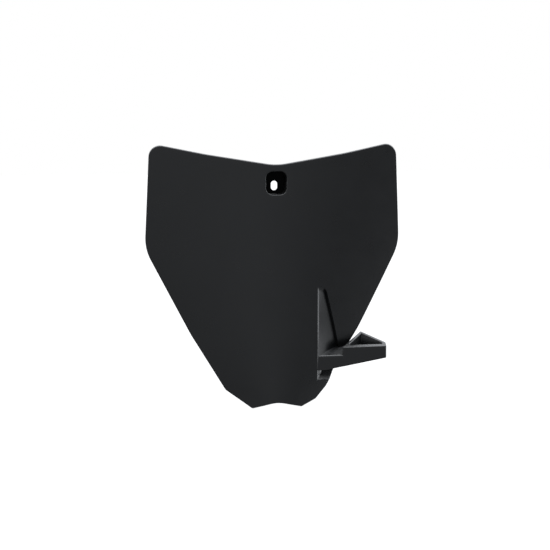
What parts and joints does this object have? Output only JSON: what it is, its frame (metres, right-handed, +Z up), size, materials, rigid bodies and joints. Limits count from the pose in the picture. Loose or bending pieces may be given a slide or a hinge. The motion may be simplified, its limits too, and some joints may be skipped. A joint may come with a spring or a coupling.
{
  "type": "racing number board",
  "caption": "One-piece moulded front number board for an off-road motorbike, bent to a prow, with a screw pocket at the top and a hose loop on a side arm.",
  "frame": {"origin": "centre of the screw slot, on the flat rear seat of the screw pocket", "axes": "+Z up along the middle of the board, -Y out of its front face, +X to the viewer's right when the front is seen"},
  "size_m": [0.2488, 0.0243, 0.255],
  "materials": {
    "black_plastic": "fine satin moulded polypropylene"
  },
  "bodies": {
    "root": {"number_board": "black_plastic"}
  },
  "joints": []
}
